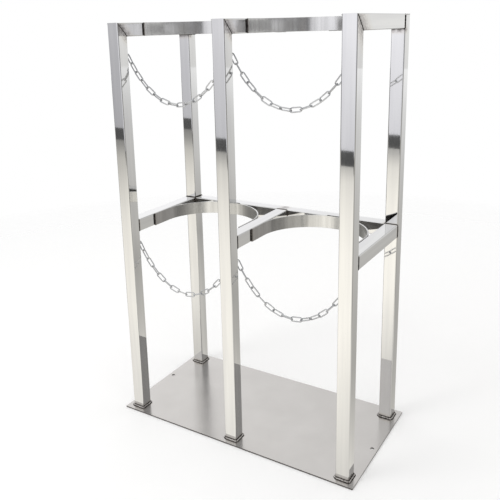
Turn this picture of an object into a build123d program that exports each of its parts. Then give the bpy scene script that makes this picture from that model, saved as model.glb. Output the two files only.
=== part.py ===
from build123d import *
import math
import os

# Gas cylinder bracket: a floor stand for two tall gas cylinders, side by side.
# Square tube posts stand on a base plate and carry two levels of square rails.
# At each level a U-shaped flat-bar band backs each cylinder, open to the front,
# and a welded chain hangs across the front of each bay.
#
# Millimetres. The origin is the middle of the plate's underside.
# +X is to the right along the long side, -Y is the open front, +Z is up.

# Overall sizes, measured outside the posts
stand_width = 738.0
stand_depth = 370.0
stand_height = 1200.0

# Base plate
plate_overhang = 18.0
plate_thickness = 4.0
bolt_hole_radius = 5.5
bolt_hole_edge = 15.5
left_hole_y = 27.0
right_hole_y = -17.0

# Square tube of the posts and rails
tube = 38.0
tube_wall = 2.0
tube_corner = 3.0
cap_thickness = 2.0

# Level of the middle frame, floor to the top of its rails
middle_level = 625.0

# Bands of flat bar
band_thickness = 4.0
band_leg = 66.0

# Chain eyes: staples of bent wire on the rear faces of the front posts
eye_wire = 4.0
eye_half_width = 10.0
eye_bend = 4.0
eye_wire_sides = 16
eye_reach = 14.0
eye_drop_upper = 91.0
eye_drop_lower = 81.0

# Chains of welded links
chain_slack = 1.32
link_wire = 3.5
link_inner_length = 29.1
link_side_play = 1.0
link_play = 0.3
link_seat_gap = 0.6
end_link_room = 0.5
outer_roll = 0.0
middle_roll = 30.0
left_roll_step = 98.0
right_roll_step = 118.0
link_wire_sides = 8

# Lines that the pieces share
outer_x = stand_width / 2
front_y = -stand_depth / 2
rear_y = stand_depth / 2
post_x = outer_x - tube / 2
front_post_y = front_y + tube / 2
rear_post_y = rear_y - tube / 2
front_post_back = front_y + tube
rear_rail_front = rear_y - tube
bay_width = (stand_width - 3 * tube) / 2
bay_x = (tube + bay_width) / 2
eye_y = front_post_back + eye_reach
upper_eye_z = stand_height - eye_drop_upper
lower_eye_z = middle_level - eye_drop_lower
link_pitch = link_inner_length - link_play
link_inner_width = 2 * link_wire + link_side_play
links_per_chain = round(chain_slack * post_x / link_pitch)

SIDES = {"left": -1, "middle": 0, "right": 1}


def square_tube(start, end, along):
    """A hollow square tube between two points, along one of the three axes."""
    across = (0, 1, 0) if along[0] else (1, 0, 0)
    section = RectangleRounded(tube, tube, tube_corner)
    section -= Rectangle(tube - 2 * tube_wall, tube - 2 * tube_wall)
    length = (Vector(*end) - Vector(*start)).length
    return extrude(Plane(origin=start, x_dir=across, z_dir=along) * section, amount=length)


def mitre_plane(x):
    """The 45 degree joint between a front post and the top rail that runs back from it."""
    return Plane(origin=(x, front_y, stand_height), z_dir=(0, 1, 1))


def front_post(x):
    post = square_tube((x, front_post_y, plate_thickness), (x, front_post_y, stand_height), (0, 0, 1))
    return split(post, bisect_by=mitre_plane(x), keep=Keep.BOTTOM)


def rear_post(x):
    top = stand_height - cap_thickness
    return square_tube((x, rear_post_y, plate_thickness), (x, rear_post_y, top), (0, 0, 1))


def rear_post_cap(x):
    cap = extrude(RectangleRounded(tube, tube, tube_corner), amount=cap_thickness)
    return Pos(x, rear_post_y, stand_height - cap_thickness) * cap


def top_depth_rail(x):
    z = stand_height - tube / 2
    rail = square_tube((x, front_y, z), (x, rear_rail_front, z), (0, 1, 0))
    return split(rail, bisect_by=mitre_plane(x), keep=Keep.TOP)


def middle_depth_rail(x):
    z = middle_level - tube / 2
    return square_tube((x, front_post_back, z), (x, rear_rail_front, z), (0, 1, 0))


def rear_rail(level):
    """The rail between the rear posts, with its top at the level given."""
    z = level - tube / 2
    end_x = outer_x - tube
    return square_tube((-end_x, rear_post_y, z), (end_x, rear_post_y, z), (1, 0, 0))


def band(x, level):
    """A U of flat bar that fills the bay's width and touches the rear rail at its apex."""
    outer = bay_width / 2
    inner = outer - band_thickness
    centre_y = rear_rail_front - outer
    mouth_y = centre_y - band_leg
    leg_y = (centre_y + mouth_y) / 2
    profile = Pos(0, centre_y) * Circle(outer)
    profile += Pos(0, leg_y) * Rectangle(2 * outer, band_leg)
    profile -= Pos(0, centre_y) * Circle(inner)
    profile -= Pos(0, leg_y) * Rectangle(2 * inner, band_leg)
    profile -= Pos(0, mouth_y - outer) * Rectangle(2 * outer, 2 * outer)
    return Pos(x, 0, level - tube) * extrude(profile, amount=tube)


def base_plate():
    length = stand_width + 2 * plate_overhang
    width = stand_depth + 2 * plate_overhang
    hole_x = length / 2 - bolt_hole_edge
    outline = Rectangle(length, width)
    outline -= Pos(-hole_x, left_hole_y) * Circle(bolt_hole_radius)
    outline -= Pos(hole_x, right_hole_y) * Circle(bolt_hole_radius)
    return extrude(outline, amount=plate_thickness)


def wire_section(thickness, sides):
    """The section of a wire with flat sides: its thickness is measured across the flats."""
    return RegularPolygon(thickness / 2, sides, major_radius=False, rotation=180 / sides)


def chain_eye(x, z):
    """A squared U of wire: two legs from the post's rear face and a bar across, all level.

    Each bend is one straight chord.
    """
    chord_start = eye_bend * (1 - math.tan(math.pi / 8))
    leg_end = eye_y - chord_start
    bar_end = eye_half_width - chord_start
    route = Polyline(
        (x - eye_half_width, front_post_back, z),
        (x - eye_half_width, leg_end, z),
        (x - bar_end, eye_y, z),
        (x + bar_end, eye_y, z),
        (x + eye_half_width, leg_end, z),
        (x + eye_half_width, front_post_back, z),
    )
    start = Plane(origin=route @ 0, x_dir=(0, 0, 1), z_dir=(0, 1, 0))
    return sweep(start * wire_section(eye_wire, eye_wire_sides), path=route, transition=Transition.RIGHT)


def chain_link():
    """One welded link, long along X and wide along Y, centred on the origin.

    Each end is three straight chords round a half circle.
    """
    end_radius = (link_inner_width + link_wire) / 2
    tip_x = (link_inner_length + link_wire) / 2
    bend_x = tip_x - end_radius
    chord = end_radius * math.tan(math.pi / 8)
    route = Polyline(
        (0, -end_radius),
        (bend_x + chord, -end_radius),
        (tip_x, -chord),
        (tip_x, chord),
        (bend_x + chord, end_radius),
        (0, end_radius),
    )
    start = Plane(origin=(0, -end_radius, 0), x_dir=(0, 1, 0), z_dir=(1, 0, 0))
    half = sweep(start * wire_section(link_wire, link_wire_sides), path=route, transition=Transition.RIGHT)
    return half + mirror(half, about=Plane.YZ)


def link_slope(index, tension):
    """The slope of one link in a chain of equal links that hangs from both ends."""
    return math.atan((index - (links_per_chain - 1) / 2) / tension)


def hanging_slopes(span):
    """The slopes of all the links when the end links' tips are one span apart."""
    tip_to_joint = (link_inner_length + link_wire + link_pitch) / 2
    low = 0.01
    high = 1000.0
    for _ in range(60):
        tension = (low + high) / 2
        slopes = [link_slope(index, tension) for index in range(links_per_chain)]
        reach = 2 * tip_to_joint * math.cos(slopes[0])
        reach += sum(link_pitch * math.cos(slope) for slope in slopes[1:-1])
        if reach < span:
            low = tension
        else:
            high = tension
    return slopes


def link_rolls(first_roll, last_roll, roll_step):
    """The turn of each link about its length, in steps near the one given, to fixed turns at both ends."""
    joints = links_per_chain - 1
    turn = last_roll - first_roll
    half_turns = round((joints * roll_step - turn) / 180)
    exact_step = (180 * half_turns + turn) / joints
    return [math.radians(first_roll + exact_step * index) for index in range(links_per_chain)]


def seat_height(slope, roll):
    """How far an end link's tip stands above the axis of the bar that it hangs on."""
    tip_y = math.cos(roll)
    tip_z = math.sin(roll) * math.cos(slope)
    clear = (link_wire + eye_wire) / 2 + link_seat_gap
    return clear * math.hypot(tip_y, tip_z) / abs(tip_y)


def tip_offset(slope, roll):
    """How far from the eye's middle an end link's tip hangs, towards the chain's bay.

    The link leans against the eye's leg on that side: the wire inside the eye passes below the leg.
    """
    clear = (link_wire + eye_wire) / 2 + link_seat_gap
    end_radius = (link_inner_width + link_wire) / 2
    wire_drop = end_radius * math.sin(roll) * math.copysign(1, math.cos(roll))
    lean = clear + seat_height(slope, roll) * math.cos(slope) - wire_drop
    room = max(lean / abs(math.sin(slope)), eye_bend) + end_link_room
    return eye_half_width - room


def chain(left_eye_x, right_eye_x, bar_z, rolls):
    """A chain that hangs between two eyes, each link turned on from the one before."""
    start_x = left_eye_x
    end_x = right_eye_x
    for _ in range(8):
        slopes = hanging_slopes(end_x - start_x)
        start_x = left_eye_x + tip_offset(slopes[0], rolls[0])
        end_x = right_eye_x - tip_offset(slopes[-1], rolls[-1])
    seat = max(seat_height(slopes[0], rolls[0]), seat_height(slopes[-1], rolls[-1]))
    half_tip = (link_inner_length + link_wire) / 2
    single = chain_link()
    links = []
    point = Vector(start_x, eye_y, bar_z + seat)
    before = half_tip
    for slope, roll in zip(slopes, rolls):
        along = Vector(math.cos(slope), 0, math.sin(slope))
        rise = Vector(-math.sin(slope), 0, math.cos(slope))
        across = Vector(0, 1, 0) * math.cos(roll) + rise * math.sin(roll)
        centre = point + along * before
        links.append(Plane(origin=centre, x_dir=along, z_dir=along.cross(across)) * single)
        before = link_pitch / 2
        point = centre + along * before
    return Compound([link.solid() for link in links])


def bay_chain(side, bar_z):
    """The chain across the left or the right bay, between the middle eye and an outer one."""
    if side == "left":
        return chain(-post_x, 0, bar_z, link_rolls(outer_roll, middle_roll, left_roll_step))
    return chain(0, post_x, bar_z, link_rolls(middle_roll, outer_roll, right_roll_step))


pieces = {"base_plate": base_plate()}
for side, place in SIDES.items():
    x = place * post_x
    pieces[f"post_front_{side}"] = front_post(x)
    pieces[f"top_rail_{side}"] = top_depth_rail(x)
    pieces[f"mid_rail_{side}"] = middle_depth_rail(x)
    pieces[f"upper_eye_{side}"] = chain_eye(x, upper_eye_z)
    pieces[f"lower_eye_{side}"] = chain_eye(x, lower_eye_z)
pieces["top_rail_rear"] = rear_rail(stand_height)
pieces["mid_rail_rear"] = rear_rail(middle_level)
for side in ("left", "right"):
    x = SIDES[side] * post_x
    pieces[f"post_rear_{side}"] = rear_post(x)
    pieces[f"rear_post_cap_{side}"] = rear_post_cap(x)
    pieces[f"top_band_{side}"] = band(SIDES[side] * bay_x, stand_height)
    pieces[f"mid_band_{side}"] = band(SIDES[side] * bay_x, middle_level)
    pieces[f"upper_chain_{side}"] = bay_chain(side, upper_eye_z)
    pieces[f"lower_chain_{side}"] = bay_chain(side, lower_eye_z)

os.makedirs("parts", exist_ok=True)
for name, piece in pieces.items():
    export_step(piece, f"parts/{name}.step")
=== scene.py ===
import math
import random

import bmesh
import bpy
import numpy as np
from mathutils import Matrix, Vector


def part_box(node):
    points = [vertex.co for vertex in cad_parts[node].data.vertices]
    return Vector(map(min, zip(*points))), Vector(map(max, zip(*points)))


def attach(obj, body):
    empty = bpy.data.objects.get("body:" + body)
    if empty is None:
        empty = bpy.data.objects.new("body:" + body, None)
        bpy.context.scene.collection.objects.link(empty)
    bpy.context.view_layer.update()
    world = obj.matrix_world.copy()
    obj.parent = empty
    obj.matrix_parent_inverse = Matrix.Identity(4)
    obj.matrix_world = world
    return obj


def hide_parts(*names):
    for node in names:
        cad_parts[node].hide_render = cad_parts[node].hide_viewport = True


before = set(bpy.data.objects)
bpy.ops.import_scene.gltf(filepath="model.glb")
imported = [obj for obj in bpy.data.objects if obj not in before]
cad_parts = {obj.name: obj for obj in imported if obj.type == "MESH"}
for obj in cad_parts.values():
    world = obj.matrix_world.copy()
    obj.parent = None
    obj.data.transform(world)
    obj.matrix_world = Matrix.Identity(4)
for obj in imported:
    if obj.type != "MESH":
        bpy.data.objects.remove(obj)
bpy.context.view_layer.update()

chance = random.Random(7)

# ---------------------------------------------------------------- sizes, metres

LINK_WIRE = 0.0035
LINK_WIDTH = 0.0150
LINK_LENGTH = 0.0361
EYE_WIRE = 0.004
EYE_BEND = 0.004
TUBE = 0.038
BAND = 0.004
FRONT_Y = -0.185      # front faces of the front posts
RAIL_END_Y = 0.147    # where a depth rail meets a rear post; it meets a front post at the negative
RAIL_END_X = 0.331    # where a rear rail meets a rear post
LEG_END_Y = -0.075    # front ends of the bands' legs
TOP_Z = 1.2
MID_UNDER_Z = 0.606   # underside of the middle rails

X_AXIS, Y_AXIS, Z_AXIS = Vector((1, 0, 0)), Vector((0, 1, 0)), Vector((0, 0, 1))
QUARTER = math.pi / 2
SINE_45 = math.sqrt(0.5)

SIDES = ("left", "middle", "right")
BAYS = ("left", "right")
CHAIN_LEVELS = ("upper", "lower")
RAIL_LEVELS = ("top", "mid")


# ---------------------------------------------------------------- mesh helpers

def mesh_object(name, mesh):
    """An object made from a bmesh, in the scene."""
    data = bpy.data.meshes.new(name)
    mesh.to_mesh(data)
    mesh.free()
    made = bpy.data.objects.new(name, data)
    bpy.context.scene.collection.objects.link(made)
    return made


def add_object(name, mesh, material, body):
    """A smooth piece made from a bmesh, with its material, riding on a body."""
    bmesh.ops.recalc_face_normals(mesh, faces=mesh.faces)
    piece = mesh_object(name, mesh)
    for face in piece.data.polygons:
        face.use_smooth = True
    piece.data.materials.append(material)
    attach(piece, body)
    return piece


def add_tube(mesh, points, radii, sides, closed, first_normal):
    """A tube of round section along a line of points, with a radius for each point."""
    count = len(points)
    normal = Vector(first_normal)
    rings = []
    for index, point in enumerate(points):
        before = points[index - 1] if closed or index > 0 else point
        after = points[(index + 1) % count] if closed or index < count - 1 else point
        along = (after - before).normalized()
        normal = (normal - along * normal.dot(along)).normalized()
        across = along.cross(normal)
        ring = []
        for step in range(sides):
            angle = 2 * math.pi * step / sides
            offset = normal * math.cos(angle) + across * math.sin(angle)
            ring.append(mesh.verts.new(point + offset * radii[index]))
        rings.append(ring)
    last = count if closed else count - 1
    for index in range(last):
        near, far = rings[index], rings[(index + 1) % count]
        for step in range(sides):
            turn = (step + 1) % sides
            mesh.faces.new((near[step], near[turn], far[turn], far[step]))
    if not closed:
        mesh.faces.new(list(reversed(rings[0])))
        mesh.faces.new(rings[-1])


def arc(centre, radius, start, end, steps, x_axis=X_AXIS, y_axis=Y_AXIS):
    """Points of an arc in the plane of two axes, both ends included."""
    points = []
    for step in range(steps + 1):
        angle = start + (end - start) * step / steps
        points.append(centre + x_axis * radius * math.cos(angle) + y_axis * radius * math.sin(angle))
    return points


# ---------------------------------------------------------------- materials

WHITE = (1.0, 1.0, 1.0)
EVEN = (1, 1, 1)


def new_material(name):
    """A material with its nodes and links."""
    material = bpy.data.materials.new(name)
    material.use_nodes = True
    return material, material.node_tree.nodes, material.node_tree.links


def node(nodes, kind, **inputs):
    """A node with some of its inputs set; an underscore stands for a space in an input's name."""
    made = nodes.new(kind)
    for key, value in inputs.items():
        made.inputs[key.replace("_", " ")].default_value = value
    return made


def noise_at(nodes, links, scale, stretch=EVEN, detail=3.0):
    """Noise in object space, stretched along an axis by a small scale on it."""
    place = nodes.new("ShaderNodeTexCoord")
    mapping = nodes.new("ShaderNodeMapping")
    mapping.inputs["Scale"].default_value = stretch
    links.new(place.outputs["Object"], mapping.inputs["Vector"])
    made = node(nodes, "ShaderNodeTexNoise", Scale=scale, Detail=detail)
    links.new(mapping.outputs["Vector"], made.inputs["Vector"])
    return made.outputs["Fac"]


def ramp(nodes, links, source, stops):
    """A colour for each value of the source, from stops of a position and a colour."""
    made = nodes.new("ShaderNodeValToRGB")
    ends = made.color_ramp.elements
    for end, (position, colour) in ((ends[0], stops[0]), (ends[1], stops[-1])):
        end.position = position
        end.color = (*colour, 1)
    for position, colour in stops[1:-1]:
        made.color_ramp.elements.new(position).color = (*colour, 1)
    links.new(source, made.inputs["Fac"])
    return made.outputs["Color"]


def map_span(nodes, links, value, start, end, low=0.0, high=1.0):
    """A value between two ends turned into a share between two others."""
    made = nodes.new("ShaderNodeMapRange")
    made.inputs["From Min"].default_value = start
    made.inputs["From Max"].default_value = end
    made.inputs["To Min"].default_value = low
    made.inputs["To Max"].default_value = high
    links.new(value, made.inputs["Value"])
    return made.outputs["Result"]


def noise_span(nodes, links, noise, low, high):
    """Noise, most of which lies from 0.3 to 0.7, spread from low to high."""
    return map_span(nodes, links, noise, 0.3, 0.7, low, high)


def calculate(nodes, links, operation, *values):
    """A sum on sockets and plain numbers."""
    made = nodes.new("ShaderNodeMath")
    made.operation = operation
    for place, value in zip(made.inputs, values):
        if isinstance(value, float):
            place.default_value = value
        else:
            links.new(value, place)
    return made.outputs["Value"]


def parts_of(nodes, links, vector):
    """A vector's X, Y and Z sockets."""
    split = nodes.new("ShaderNodeSeparateXYZ")
    links.new(vector, split.inputs["Vector"])
    return split.outputs["X"], split.outputs["Y"], split.outputs["Z"]


def multiply(nodes, links, first, second):
    """Two colours multiplied."""
    made = nodes.new("ShaderNodeMix")
    made.data_type = "RGBA"
    made.blend_type = "MULTIPLY"
    made.inputs["Factor"].default_value = 1.0
    links.new(first, made.inputs["A"])
    links.new(second, made.inputs["B"])
    return made.outputs["Result"]


def multiply_base(nodes, links, colour):
    """Multiply a shader's base colour by another."""
    base = nodes["Principled BSDF"].inputs["Base Color"]
    links.new(multiply(nodes, links, base.links[0].from_socket, colour), base)


def bump(nodes, links, height, distance, strength=1.0, under=None):
    """A normal bumped by a height, over another bump where given."""
    made = node(nodes, "ShaderNodeBump", Strength=strength, Distance=distance)
    links.new(height, made.inputs["Height"])
    if under is not None:
        links.new(under, made.inputs["Normal"])
    return made.outputs["Normal"]


def object_axis(nodes, links, direction):
    """How far a point lies along a direction, in the part's own frame."""
    place = nodes.new("ShaderNodeTexCoord")
    along = nodes.new("ShaderNodeVectorMath")
    along.operation = "DOT_PRODUCT"
    along.inputs[1].default_value = direction
    links.new(place.outputs["Object"], along.inputs[0])
    return along.outputs["Value"]


def tint_and_shade_near(nodes, links, direction, position, reach, limit=None):
    """From 1 at a joint's plane to 0 at a distance from it, kept to one side of a limit."""
    away = calculate(nodes, links, "SUBTRACT", object_axis(nodes, links, direction), position)
    distance = calculate(nodes, links, "ABSOLUTE", away)
    tint_and_shade = map_span(nodes, links, distance, 0.0, reach, 1.0, 0.0)
    if limit is None:
        return tint_and_shade
    axis, none_at, full_at = limit
    kept = map_span(nodes, links, object_axis(nodes, links, axis), none_at, full_at)
    return calculate(nodes, links, "MULTIPLY", tint_and_shade, kept)


def tint(nodes, links, joints):
    """Straw and brown heat tint beside the joints, uneven in width; at the posts' feet and below the rear
    posts' middle rails it is partly painted shade.
    """
    tint_and_shade = None
    for joint in joints:
        near = tint_and_shade_near(nodes, links, *joint)
        tint_and_shade = near if tint_and_shade is None else calculate(nodes, links, "MAXIMUM", tint_and_shade, near)
    patches = noise_span(nodes, links, noise_at(nodes, links, 160.0), 0.5, 1.2)
    return ramp(nodes, links, calculate(nodes, links, "MULTIPLY", tint_and_shade, patches), (
        (0.0, WHITE), (0.30, (0.96, 0.94, 0.91)), (0.60, (0.66, 0.63, 0.61)), (1.0, (0.28, 0.27, 0.26)),
    ))


def steel(name, colours, rough, grain, grain_depth, wave_depth, joints=(), cloud=(9.0, EVEN)):
    """Stainless steel: grain lines, cloudy polish, slightly wavy faces and heat tint at its joints, partly
    painted shade at some of them.
    """
    material, nodes, links = new_material(name)
    shader = nodes["Principled BSDF"]
    shader.inputs["Metallic"].default_value = 1.0
    dark, light = colours
    finish = ramp(nodes, links, noise_at(nodes, links, *cloud), ((0.3, dark), (0.7, light)))
    links.new(finish, shader.inputs["Base Color"])
    if joints:
        multiply_base(nodes, links, tint(nodes, links, joints))
    lines = noise_at(nodes, links, 900.0, grain, 2.0)
    smears = noise_at(nodes, links, 26.0, (1, 1, 0.5))
    both = calculate(nodes, links, "MULTIPLY", calculate(nodes, links, "ADD", lines, smears), 0.5)
    links.new(noise_span(nodes, links, both, *rough), shader.inputs["Roughness"])
    waves = bump(nodes, links, noise_at(nodes, links, 7.0, (1, 1, 0.6), 1.0), wave_depth)
    links.new(bump(nodes, links, lines, grain_depth, under=waves), shader.inputs["Normal"])
    return material


def darken_cut_edges_and_shade(material):
    """The plate's cut edges and the walls of its holes are dull dark oxide, unlike its broad faces, and
    their dark colour is partly painted shade along the edges and inside the holes.
    """
    nodes, links = material.node_tree.nodes, material.node_tree.links
    shape = nodes.new("ShaderNodeNewGeometry")
    upward = parts_of(nodes, links, shape.outputs["True Normal"])[2]
    level = calculate(nodes, links, "ABSOLUTE", upward)
    broad_face = map_span(nodes, links, level, 0.4, 0.6)
    links.new(broad_face, nodes["Principled BSDF"].inputs["Metallic"])
    # painted shade: the cut edges and hole walls are darkened, partly as oxide and partly as shade along
    # the edges
    multiply_base(nodes, links, ramp(nodes, links, level, ((0.4, (0.11, 0.103, 0.10)), (0.6, WHITE))))


def dull_and_shade_outside(material):
    """The band's outer side is rougher, in the bar's duller mill finish, and its darker colour is partly
    that finish and partly painted shade; only its inner side is polished.
    """
    nodes, links = material.node_tree.nodes, material.node_tree.links
    outside = nodes.new("ShaderNodeAttribute")
    outside.attribute_name = "outside"
    share = outside.outputs["Fac"]
    # painted shade: the outer side's colour is darkened, partly for the mill finish and partly for shade
    multiply_base(nodes, links, ramp(nodes, links, share, ((0.4, WHITE), (0.6, (0.46, 0.455, 0.46)))))
    rough = nodes["Principled BSDF"].inputs["Roughness"]
    polished = rough.links[0].from_socket
    links.new(calculate(nodes, links, "MULTIPLY_ADD", share, 0.14, polished), rough)


def darken_legs(material):
    """The middle bands' straight legs are darker than their curve."""
    nodes, links = material.node_tree.nodes, material.node_tree.links
    along = map_span(nodes, links, object_axis(nodes, links, Y_AXIS), -0.08, 0.10)
    multiply_base(nodes, links, ramp(nodes, links, along, (
        (0.0, (0.62, 0.60, 0.59)), (0.45, (0.60, 0.59, 0.59)), (1.0, WHITE),
    )))


def weld_material(name, dark, middle, bright, metal):
    """Weld metal in ripples, from its oxide to the bright crests."""
    material, nodes, links = new_material(name)
    shader = nodes["Principled BSDF"]
    shader.inputs["Metallic"].default_value = metal
    blotches = noise_at(nodes, links, 260.0)
    colour = ramp(nodes, links, blotches, ((0.36, dark), (0.52, middle), (0.72, bright)))
    links.new(colour, shader.inputs["Base Color"])
    links.new(noise_span(nodes, links, blotches, 0.30, 0.55), shader.inputs["Roughness"])
    links.new(bump(nodes, links, blotches, 0.0004, 0.6), shader.inputs["Normal"])
    return material


# noise stretched along an axis
ALONG_X, ALONG_Y, ALONG_Z = (0.02, 1, 1), (1, 0.02, 1), (1, 1, 0.02)


def tube_finish(name, along, joints):
    """Polished tube: faint streaks run along it."""
    streaks = (60.0, tuple(0.04 if share < 1 else 1 for share in along))
    return steel(
        name, colours=((0.75, 0.75, 0.75), (0.83, 0.83, 0.82)), rough=(0.02, 0.055),
        grain=along, grain_depth=0.0000015, wave_depth=0.00012, joints=joints, cloud=streaks,
    )


def mitre_tint(side, limit):
    """Heat tint beside the 45 degree seam of a front post and its top rail, widest at the right."""
    reach = 0.050 if side == "right" else 0.028
    return (0, SINE_45, SINE_45), (FRONT_Y + TOP_Z) * SINE_45, reach, limit


def band_finish(name):
    """Satin flat bar with upright streaks and a little tint where its legs are welded."""
    material = steel(
        name, colours=((0.64, 0.64, 0.63), (0.78, 0.78, 0.77)), rough=(0.13, 0.26),
        grain=ALONG_Z, grain_depth=0.000003, wave_depth=0.0002,
        joints=((Y_AXIS, LEG_END_Y, 0.006),), cloud=(90.0, (1, 1, 0.04)),
    )
    dull_and_shade_outside(material)
    return material


# a joint's tint: the axis across it, its place, the tint's reach and, where given, an axis with
# the place where the tint has ended and the place where it is full
# at a post's foot the tint is partly heat tint and partly painted shade, the plate's darker reflection
# painted on the post's lowest part
foot_tint_and_shade = (Z_AXIS, 0.004, 0.016)
rear_post_steel = tube_finish("rear_post_steel", ALONG_Z, (
    foot_tint_and_shade,
    # below the middle rails the rear posts' tint is partly heat tint and partly painted shade, the rails'
    # shadow and reflection painted on
    (Z_AXIS, MID_UNDER_Z - 0.002, 0.026, (Y_AXIS, 0.163, 0.150)),
    (Z_AXIS, TOP_Z - TUBE - 0.002, 0.014, (Y_AXIS, 0.170, 0.160)),
))
rail_y_steel = tube_finish("rail_y_steel", ALONG_Y, (
    (Y_AXIS, -RAIL_END_Y, 0.006), (Y_AXIS, RAIL_END_Y, 0.014),
))
rail_x_steel = tube_finish("rail_x_steel", ALONG_X, (
    (X_AXIS, -RAIL_END_X, 0.014), (X_AXIS, RAIL_END_X, 0.010), (X_AXIS, 0.0, 0.024),
))
band_steel = band_finish("band_steel")
mid_band_steel = band_finish("mid_band_steel")
darken_legs(mid_band_steel)
plate_steel = steel(
    "plate_steel", colours=((0.605, 0.585, 0.568), (0.645, 0.625, 0.608)), rough=(0.18, 0.24),
    grain=ALONG_X, grain_depth=0.000003, wave_depth=0.0001,
)
darken_cut_edges_and_shade(plate_steel)
wire_steel = steel(
    "wire_steel", colours=((0.50, 0.51, 0.53), (0.68, 0.69, 0.70)), rough=(0.14, 0.3),
    grain=EVEN, grain_depth=0.00001, wave_depth=0.0,
)
weld_oxide = weld_material(
    "weld_oxide",
    dark=(0.010, 0.009, 0.008), middle=(0.032, 0.027, 0.024), bright=(0.15, 0.13, 0.12), metal=0.6,
)
weld_bright = weld_material(
    "weld_bright",
    dark=(0.22, 0.20, 0.18), middle=(0.66, 0.63, 0.60), bright=(0.90, 0.88, 0.85), metal=0.7,
)


def paint(name, material):
    """Give a CAD node one material all over."""
    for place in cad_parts[name].material_slots:
        place.material = material


paint("base_plate", plate_steel)
for side in SIDES:
    paint(f"post_front_{side}", tube_finish(f"front_post_steel_{side}", ALONG_Z, (
        foot_tint_and_shade, mitre_tint(side, (Y_AXIS, FRONT_Y + 0.0005, FRONT_Y + 0.003)),
    )))
    paint(f"top_rail_{side}", tube_finish(f"top_rail_steel_{side}", ALONG_Y, (
        (Y_AXIS, RAIL_END_Y, 0.008), mitre_tint(side, (Z_AXIS, TOP_Z - 0.0005, TOP_Z - 0.003)),
    )))
    paint(f"mid_rail_{side}", rail_y_steel)
for level in RAIL_LEVELS:
    paint(f"{level}_rail_rear", rail_x_steel)
for side in BAYS:
    paint(f"post_rear_{side}", rear_post_steel)
    paint(f"rear_post_cap_{side}", rear_post_steel)


# ---------------------------------------------------------------- chains

LINK_END = (LINK_WIDTH - LINK_WIRE) / 2    # radius of the wire's middle line round a link's end


def link_route(steps):
    """The middle line of a link, lying along X and wide along Y, as one closed loop."""
    half_leg = (LINK_LENGTH - LINK_WIDTH) / 2
    points = arc(half_leg * X_AXIS, LINK_END, -QUARTER, QUARTER, steps)
    points += [Vector((half_leg * share, LINK_END, 0)) for share in (0.35, 0.15, 0, -0.15, -0.35)]
    points += arc(-half_leg * X_AXIS, LINK_END, QUARTER, 3 * QUARTER, steps)
    points += [Vector((half_leg * share, -LINK_END, 0)) for share in (-0.35, 0, 0.35)]
    return points


def link_radii(points):
    """The wire swells a little at the butt weld in the middle of one leg."""
    weld_reach = 0.0024
    swell = 0.00028
    radii = []
    for point in points:
        on_leg = abs(point.y - LINK_END) < 1e-6
        near = max(0.0, 1 - abs(point.x) / weld_reach) if on_leg else 0.0
        radii.append(LINK_WIRE / 2 + swell * near)
    return radii


def loose_parts(mesh):
    """The corners of each separate solid of a mesh."""
    corners = [vertex.co.copy() for vertex in mesh.vertices]
    places = {}
    for index, corner in enumerate(corners):
        places.setdefault(tuple(round(value, 6) for value in corner), []).append(index)
    parent = list(range(len(corners)))

    def root(index):
        while parent[index] != index:
            parent[index] = parent[parent[index]]
            index = parent[index]
        return index

    for same in places.values():
        for index in same[1:]:
            parent[root(index)] = root(same[0])
    for edge in mesh.edges:
        parent[root(edge.vertices[0])] = root(edge.vertices[1])
    parts = {}
    for index, corner in enumerate(corners):
        parts.setdefault(root(index), []).append(corner)
    return list(parts.values())


def link_place(corners):
    """Where a link of the CAD model lies: its middle, and the axes of its length and width."""
    unique = np.array(sorted({tuple(round(value, 6) for value in corner) for corner in corners}))
    middle = unique.mean(axis=0)
    axes = np.linalg.eigh(np.cov((unique - middle).T))[1]
    length = Vector(axes[:, 2])
    width = Vector(axes[:, 1])
    turn = Matrix((length, width, length.cross(width))).transposed().to_4x4()
    return Matrix.Translation(Vector(middle)) @ turn


def make_chain(name):
    """Round-wire links in the places of the CAD model's links."""
    points = link_route(8)
    radii = link_radii(points)
    mesh = bmesh.new()
    for corners in loose_parts(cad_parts[name].data):
        place = link_place(corners)
        placed = [place @ point for point in points]
        add_tube(mesh, placed, radii, 12, True, place.to_3x3() @ Z_AXIS)
    piece = add_object(f"{name}_links", mesh, wire_steel, name)
    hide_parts(name)


for level in CHAIN_LEVELS:
    for side in BAYS:
        make_chain(f"{level}_chain_{side}")


# ---------------------------------------------------------------- chain eyes

def make_eye(name):
    """A staple of bent round wire, in the place of the CAD model's eye."""
    low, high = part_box(name)
    wire = EYE_WIRE / 2
    left, right = low[0] + wire, high[0] - wire
    z = (low[2] + high[2]) / 2
    bend_y = high[1] - wire - EYE_BEND
    half_y = (low[1] + bend_y) / 2
    points = [Vector((right, low[1], z)), Vector((right, half_y, z))]
    points += arc(Vector((right - EYE_BEND, bend_y, z)), EYE_BEND, 0, QUARTER, 8)
    points += arc(Vector((left + EYE_BEND, bend_y, z)), EYE_BEND, QUARTER, 2 * QUARTER, 8)
    points += [Vector((left, half_y, z)), Vector((left, low[1], z))]
    mesh = bmesh.new()
    add_tube(mesh, points, [wire] * len(points), 16, False, Z_AXIS)
    piece = add_object(f"{name}_wire", mesh, wire_steel, "frame")
    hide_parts(name)


for level in CHAIN_LEVELS:
    for side in SIDES:
        make_eye(f"{level}_eye_{side}")


# ---------------------------------------------------------------- bands

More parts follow.
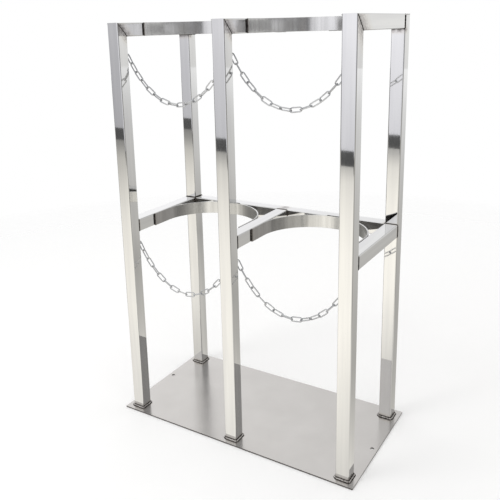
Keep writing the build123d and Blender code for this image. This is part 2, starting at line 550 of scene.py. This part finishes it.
def make_band(name, metal):
    """The U of flat bar, with a smooth curve and slightly eased edges."""
    low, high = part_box(name)
    outer = (high[0] - low[0]) / 2
    centre = Vector(((low[0] + high[0]) / 2, high[1] - outer, 0))
    half_leg_y = (low[1] + centre.y) / 2
    ease = 0.0006
    section = [
        (0, low[2] + ease), (0, high[2] - ease), (ease, high[2]), (BAND - ease, high[2]),
        (BAND, high[2] - ease), (BAND, low[2] + ease), (BAND - ease, low[2]), (ease, low[2]),
    ]
    lines = []
    for inset, z in section:
        radius = outer - inset
        right, left = centre.x + radius, centre.x - radius
        line = [Vector((right, low[1], z)), Vector((right, half_leg_y, z))]
        line += arc(centre + z * Z_AXIS, radius, 0, math.pi, 96)
        line += [Vector((left, half_leg_y, z)), Vector((left, low[1], z))]
        lines.append(line)
    mesh = bmesh.new()
    rings = [[mesh.verts.new(corner) for corner in corners] for corners in zip(*lines)]
    outside = mesh.faces.layers.float.new("outside")
    for near, far in zip(rings, rings[1:]):
        for step in range(len(section)):
            turn = (step + 1) % len(section)
            face = mesh.faces.new((near[step], near[turn], far[turn], far[step]))
            face[outside] = 1.0 if step == 0 else 0.0
    mesh.faces.new(rings[0])
    mesh.faces.new(list(reversed(rings[-1])))
    piece = add_object(f"{name}_bar", mesh, metal, "frame")
    piece.data.set_sharp_from_angle(angle=math.radians(30))
    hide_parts(name)


for side in BAYS:
    make_band(f"top_band_{side}", band_steel)
for side in BAYS:
    make_band(f"mid_band_{side}", mid_band_steel)


# ---------------------------------------------------------------- welds

def along_line(points, step):
    """Points at even steps along a line of corners."""
    made = []
    for start, end in zip(points, points[1:]):
        count = max(1, round((end - start).length / step))
        made += [start.lerp(end, index / count) for index in range(count)]
    return made + [points[-1]]


def make_weld(name, corners, radius, metal=weld_oxide):
    """A bead of weld metal with uneven ripples along a line of corners."""
    step = 0.45 * radius
    ripple_turn = 1.9           # how far round a ripple each step goes, in radians
    uneven = (0.78, 1.16)
    off_axes = (0.3, 0.2, 0.9)  # lies along no bead, so that each bead's section has a start
    points = along_line([Vector(corner) for corner in corners], step)
    radii = []
    for index in range(len(points)):
        ripple = 0.85 + 0.15 * math.cos(index * ripple_turn)
        radii.append(radius * ripple * chance.uniform(*uneven))
    radii[0] *= 0.5
    radii[-1] *= 0.5
    mesh = bmesh.new()
    add_tube(mesh, points, radii, 8, False, off_axes)
    piece = add_object(name, mesh, metal, "frame")


def section_loop(low_a, high_a, low_b, high_b, corner):
    """The eight corners of a square tube's outline, and its first corner again."""
    loop = [
        (low_a + corner, low_b), (high_a - corner, low_b),
        (high_a, low_b + corner), (high_a, high_b - corner),
        (high_a - corner, high_b), (low_a + corner, high_b),
        (low_a, high_b - corner), (low_a, low_b + corner),
    ]
    return loop + loop[:1]


def foot_weld(post):
    """A bright fillet round a post's foot, between a dark toe on the plate and one on the post."""
    low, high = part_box(post)
    toe = 0.0043
    beads = (    # name, distance out from the post, height, radius, metal
        ("fillet", 0.0014, 0.0015, 0.0030, weld_bright),
        ("plate_toe", toe, 0.0, 0.0020, weld_oxide),
        ("post_toe", 0.0, toe, 0.0019, weld_oxide),
    )
    for label, out, rise, radius, metal in beads:
        loop = section_loop(low[0] - out, high[0] + out, low[1] - out, high[1] + out, 0.002 + out)
        make_weld(f"{post}_foot_{label}", [(x, y, low[2] + rise) for x, y in loop], radius, metal)


SEAM_CORNER = 0.0025    # how far a bead cuts the corner of the tube it goes round
HEAVY_ENDS = {          # bead radius at the ends that are welded more heavily than the rest
    "mid_rail_left_far": 0.0030, "mid_rail_rear_near": 0.0030, "mid_rail_rear_far": 0.0022,
    "top_rail_left_far": 0.0026, "top_rail_rear_near": 0.0026, "top_rail_right_far": 0.0024,
}


def at_top(high):
    """Whether a box reaches the top of the stand."""
    return high[2] > TOP_Z - 0.01


X, Y = 0, 1
NEAR, FAR = 0, 1


def end_weld(rail, axis, end):
    """A bead round an end of a rail that runs along X or Y, left off the upper face of a top rail."""
    low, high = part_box(rail)
    other = 1 - axis
    place = (low, high)[end][axis]
    loop = section_loop(low[other], high[other], low[2], high[2], SEAM_CORNER)
    if at_top(high):
        start = high[2] - 0.003
        loop = [(low[other], start), (low[other], low[2] + SEAM_CORNER), *loop[:3], (high[other], start)]
    corners = [(place, across, z) if axis == X else (across, place, z) for across, z in loop]
    name = f"{rail}_{('near', 'far')[end]}"
    make_weld(f"{name}_weld", corners, HEAVY_ENDS.get(name, 0.0016))


def mitre_weld(side):
    """The mitre of a front post and its top rail: a thin bead down each cheek and one inside."""
    low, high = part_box(f"post_front_{side}")
    front, back, top = low[1], high[1], high[2]
    for label, x in (("left", low[0]), ("right", high[0])):
        corners = ((x, front + 0.0015, top - 0.0015), (x, back, top - TUBE))
        make_weld(f"mitre_weld_{side}_{label}", corners, 0.0012)
    inside = ((low[0] + 0.001, back, top - TUBE), (high[0] - 0.001, back, top - TUBE))
    make_weld(f"mitre_weld_{side}_inside", inside, 0.0026)


def band_welds(name):
    """An upright bead at the front end of each leg, and tacks where the curve touches the rear rail."""
    low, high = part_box(name)
    for label, x in (("left", low[0] + BAND / 2), ("right", high[0] - BAND / 2)):
        corners = ((x, low[1], low[2] + 0.0012), (x, low[1], high[2] - 0.0016))
        make_weld(f"{name}_{label}_weld", corners, 0.0019)
    middle, back = (low[0] + high[0]) / 2, high[1] - 0.0006
    half_tack = 0.022
    edges = [("under", low[2])] if at_top(high) else [("under", low[2]), ("over", high[2])]
    for label, z in edges:
        corners = ((middle - half_tack, back, z), (middle + half_tack, back, z))
        make_weld(f"{name}_{label}_tack", corners, 0.0014)


def eye_welds(name):
    """A small ring of weld at each foot of an eye."""
    low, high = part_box(name)
    wire = EYE_WIRE / 2
    z = (low[2] + high[2]) / 2
    for label, x in (("left", low[0] + wire), ("right", high[0] - wire)):
        ring = arc(Vector((x, low[1] + 0.0003, z)), wire, 0, 2 * math.pi, 10, X_AXIS, Z_AXIS)
        make_weld(f"{name}_{label}_weld", ring, 0.0009)


def cap_weld(side):
    """The thin seam under a rear post's cap."""
    low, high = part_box(f"rear_post_cap_{side}")
    loop = section_loop(low[0], high[0], low[1], high[1], SEAM_CORNER)
    make_weld(f"cap_weld_{side}", [(x, y, low[2]) for x, y in loop], 0.0005)


for side in SIDES:
    foot_weld(f"post_front_{side}")
    mitre_weld(side)
    end_weld(f"mid_rail_{side}", Y, NEAR)
    end_weld(f"mid_rail_{side}", Y, FAR)
    end_weld(f"top_rail_{side}", Y, FAR)
    for level in CHAIN_LEVELS:
        eye_welds(f"{level}_eye_{side}")
for side in BAYS:
    foot_weld(f"post_rear_{side}")
    cap_weld(side)
for level in RAIL_LEVELS:
    end_weld(f"{level}_rail_rear", X, NEAR)
    end_weld(f"{level}_rail_rear", X, FAR)
    for side in BAYS:
        band_welds(f"{level}_band_{side}")


# ---------------------------------------------------------------- studio

FLOOR_COLOUR = (0.965, 0.962, 0.957, 1)
FLOOR_RADIUS = 3.0
FLOOR_FADES = (0.9, 2.9)    # distances from the middle between which the floor fades away

# The room, which only reflections see, in round light levels. They go back to greys measured on the posts
# and bands in the photo, thinned out, rounded and then changed. Each has the angle about Z where
# it holds, with 0 at the front and 90 at the right, and may have a warmth: see grey. FLOOR_SIDES is the
# share of the floor's light that is left by angle, about a metre or more to the side of the stand.
WALLS = (
    (-180, 0.90), (-150, 1.08, -0.7), (-100, 1.10, -0.7), (-68, 0.42, -0.7), (-50, 0.40, -0.7),
    (-30, 0.90, -0.7), (-20, 1.04, -0.7), (27, 0.98, -0.7), (31, 0.22, -0.7), (50, 0.20, -0.7),
    (60, 0.50, -0.7), (82, 0.34, -0.7), (118, 0.32), (136, 0.87, 0.2), (148, 0.84, 0.2),
    (164, 0.90, 0.2), (180, 0.90),
)
CEILING = (
    (-180, 0.76), (-140, 1.04), (-40, 0.92), (0, 0.88), (50, 0.46), (100, 0.38), (142, 0.38), (180, 0.76),
)
FLOOR_SIDES = (
    (-180, 1.0), (-150, 0.9), (-110, 0.45), (-80, 0.35), (-67, 0.48), (-56, 0.70), (-50, 1.0),
    (28, 1.0), (34, 0.34), (60, 0.40), (118, 0.44), (132, 0.92), (150, 1.0), (180, 1.05),
)
# These levels have a place along Y or X instead of the angle.
FLOOR_DEPTH = (
    (-4.6, 0.44, 0.5), (-4.0, 0.58, 0.8), (-3.4, 0.92, 1.2), (-2.5, 1.03, 1.3), (-1.8, 1.08, 1.3),
    (-0.8, 1.07, 1.3), (-0.3, 0.92, 1.1), (0.3, 0.56, 1.0), (2.0, 0.53, 0.6), (5.0, 0.58, 0.2),
    (10.0, 0.74), (16.0, 0.82),
)
FLOOR_ACROSS = (
    (-6.0, 0.40), (-2.96, 0.67), (-2.0, 0.86), (-1.04, 0.97),
    (0.0, 1.08), (0.6, 0.82), (0.96, 1.02), (2.0, 1.20),
)
# And these have the height of a direction, its Z, which darkens the foot of the walls.
WALL_FOOT = ((-0.30, 0.62), (-0.15, 0.80), (-0.09, 0.87), (-0.04, 0.93), (0.0, 1.0), (0.7, 1.0))
CEILING_RISES = (0.08, 0.38)    # heights between which the walls give way to the ceiling


def grey(value, warm=0.0):
    """A grey, a little cream for a positive warmth and a little lilac for a negative one."""
    return (value * (1 + 0.02 * max(warm, 0)), value * (1 - 0.005 * abs(warm)), value * (1 - 0.06 * warm))


def levels(nodes, links, value, start, end, stops):
    """Light by a value: each stop is a place between start and end, a level and maybe a warmth."""
    placed = [((stop[0] - start) / (end - start), grey(*stop[1:])) for stop in stops]
    return ramp(nodes, links, map_span(nodes, links, value, start, end), placed)


def azimuth(nodes, links, x, y):
    """The turn of a place or direction about Z, in radians, with the front at 0."""
    return calculate(nodes, links, "ARCTAN2", x, calculate(nodes, links, "MULTIPLY", y, -1.0))


def levels_around(nodes, links, turn, stops):
    """Light by the turn about Z."""
    placed = [((stop[0] + 180) / 360, grey(*stop[1:])) for stop in stops]
    return ramp(nodes, links, map_span(nodes, links, turn, -math.pi, math.pi), placed)


def make_floor():
    """The white floor that the stand is on, fading into the white backdrop."""
    mesh = bmesh.new()
    bmesh.ops.create_circle(mesh, cap_ends=True, segments=128, radius=FLOOR_RADIUS)
    floor = mesh_object("studio_floor", mesh)
    material, nodes, links = new_material("floor_white")
    shader = nodes["Principled BSDF"]
    shader.inputs["Roughness"].default_value = 0.9
    shader.inputs["Specular IOR Level"].default_value = 0.1
    shader.inputs["Base Color"].default_value = FLOOR_COLOUR
    place = nodes.new("ShaderNodeTexCoord")
    far = nodes.new("ShaderNodeVectorMath")
    far.operation = "LENGTH"
    links.new(place.outputs["Object"], far.inputs[0])
    clear = nodes.new("ShaderNodeBsdfTransparent")
    blend = nodes.new("ShaderNodeMixShader")
    links.new(map_span(nodes, links, far.outputs["Value"], *FLOOR_FADES), blend.inputs["Fac"])
    links.new(shader.outputs["BSDF"], blend.inputs[1])
    links.new(clear.outputs["BSDF"], blend.inputs[2])
    links.new(blend.outputs["Shader"], nodes["Material Output"].inputs["Surface"])
    floor.data.materials.append(material)
    floor.location.z = -0.0002


def make_world():
    """The room's walls and ceiling, darker at the right; white to the eye and to diffuse light."""
    world = bpy.data.worlds.new("studio")
    bpy.context.scene.world = world
    world.use_nodes = True
    nodes, links = world.node_tree.nodes, world.node_tree.links
    nodes.clear()
    direction = nodes.new("ShaderNodeTexCoord")
    x, y, z = parts_of(nodes, links, direction.outputs["Generated"])
    turn = azimuth(nodes, links, x, y)
    walls = levels_around(nodes, links, turn, WALLS)
    foot = levels(nodes, links, z, -0.3, 0.7, WALL_FOOT)
    over = nodes.new("ShaderNodeMix")
    over.data_type = "RGBA"
    links.new(map_span(nodes, links, z, *CEILING_RISES), over.inputs["Factor"])
    links.new(multiply(nodes, links, walls, foot), over.inputs["A"])
    links.new(levels_around(nodes, links, turn, CEILING), over.inputs["B"])
    lit = node(nodes, "ShaderNodeBackground", Strength=1.0)
    links.new(over.outputs["Result"], lit.inputs["Color"])
    white = node(nodes, "ShaderNodeBackground", Color=(1, 1, 1, 1), Strength=1.0)
    seen = nodes.new("ShaderNodeLightPath")
    by_eye = seen.outputs["Is Camera Ray"]
    mix = nodes.new("ShaderNodeMixShader")
    links.new(calculate(nodes, links, "MAXIMUM", by_eye, seen.outputs["Is Diffuse Ray"]), mix.inputs["Fac"])
    links.new(lit.outputs["Background"], mix.inputs[1])
    links.new(white.outputs["Background"], mix.inputs[2])
    out = nodes.new("ShaderNodeOutputWorld")
    links.new(mix.outputs["Shader"], out.inputs["Surface"])


def reflected_card(name, corners, faces):
    """A glowing card of the room that only reflections see, and its material's nodes, links and glow."""
    data = bpy.data.meshes.new(name)
    data.from_pydata(corners, [], faces)
    card = bpy.data.objects.new(name, data)
    bpy.context.scene.collection.objects.link(card)
    card.visible_camera = False
    card.visible_diffuse = False
    card.visible_shadow = False
    card.visible_transmission = False
    card.visible_volume_scatter = False
    material, nodes, links = new_material(name)
    nodes.clear()
    glow = nodes.new("ShaderNodeEmission")
    out = nodes.new("ShaderNodeOutputMaterial")
    links.new(glow.outputs["Emission"], out.inputs["Surface"])
    data.materials.append(material)
    return card, nodes, links, glow.inputs["Color"]


def make_dark_rail():
    """A low dark rail across the room in front of the stand: the dark mark at half height on each post."""
    low, high = 0.3745, 0.4665
    ends = ((-7.0, -2.943), (1.5, -2.097))
    corners = [(x, y, z) for z in (low, high) for x, y in ends]
    card, nodes, links, colour = reflected_card("studio_dark_rail", corners, [(0, 1, 3, 2)])
    colour.default_value = (*grey(0.098), 1)


def make_room_floor():
    """The room's floor: bright in front of the stand, darker behind it and far to the sides."""
    front_y, reach = FLOOR_DEPTH[0][0], FLOOR_DEPTH[-1][0]
    below = -0.0001
    outline = ((-reach, front_y), (reach, front_y), (reach, reach), (-reach, reach))
    corners = [(x, y, below) for x, y in outline]
    card, nodes, links, colour = reflected_card("studio_room_floor", corners, [(0, 1, 2, 3)])
    place = nodes.new("ShaderNodeTexCoord")
    x, y, _ = parts_of(nodes, links, place.outputs["Object"])
    depth = levels(nodes, links, y, -reach, reach, FLOOR_DEPTH)
    across = levels(nodes, links, x, FLOOR_ACROSS[0][0], FLOOR_ACROSS[-1][0], FLOOR_ACROSS)
    beside = nodes.new("ShaderNodeMix")
    beside.data_type = "RGBA"
    beside.inputs["A"].default_value = (1, 1, 1, 1)
    sideways = calculate(nodes, links, "ABSOLUTE", x)
    links.new(map_span(nodes, links, sideways, 0.9, 1.3), beside.inputs["Factor"])
    links.new(levels_around(nodes, links, azimuth(nodes, links, x, y), FLOOR_SIDES), beside.inputs["B"])
    light = multiply(nodes, links, multiply(nodes, links, depth, across), beside.outputs["Result"])
    links.new(light, colour)


def add_light(name, place, target, size, power):
    """A soft disk of light, turned to a target and not seen itself."""
    data = bpy.data.lights.new(name, "AREA")
    data.shape = "DISK"
    data.size = size
    data.energy = power
    light = bpy.data.objects.new(name, data)
    light.location = place
    light.rotation_euler = (Vector(target) - Vector(place)).to_track_quat("-Z", "Y").to_euler()
    light.visible_camera = False
    light.visible_glossy = False
    bpy.context.scene.collection.objects.link(light)


def make_camera():
    """The photo's angle."""
    data = bpy.data.cameras.new("camera")
    data.sensor_width = 36.0
    data.lens = 46.73
    data.shift_x = 0.0452
    data.shift_y = -0.11
    data.clip_start = 0.05
    data.clip_end = 50.0
    camera = bpy.data.objects.new("camera", data)
    camera.location = (0.92165, -1.58060, 1.17353)
    camera.rotation_euler = [math.radians(angle) for angle in (75.676, 1.664, 32.600)]
    bpy.context.scene.collection.objects.link(camera)
    bpy.context.scene.camera = camera


make_floor()
make_world()
make_room_floor()
make_dark_rail()
add_light("key", (-1.6, -2.2, 3.0), (0, 0, 0.5), 1.6, 20)
make_camera()
bpy.context.scene.view_settings.view_transform = "Standard"
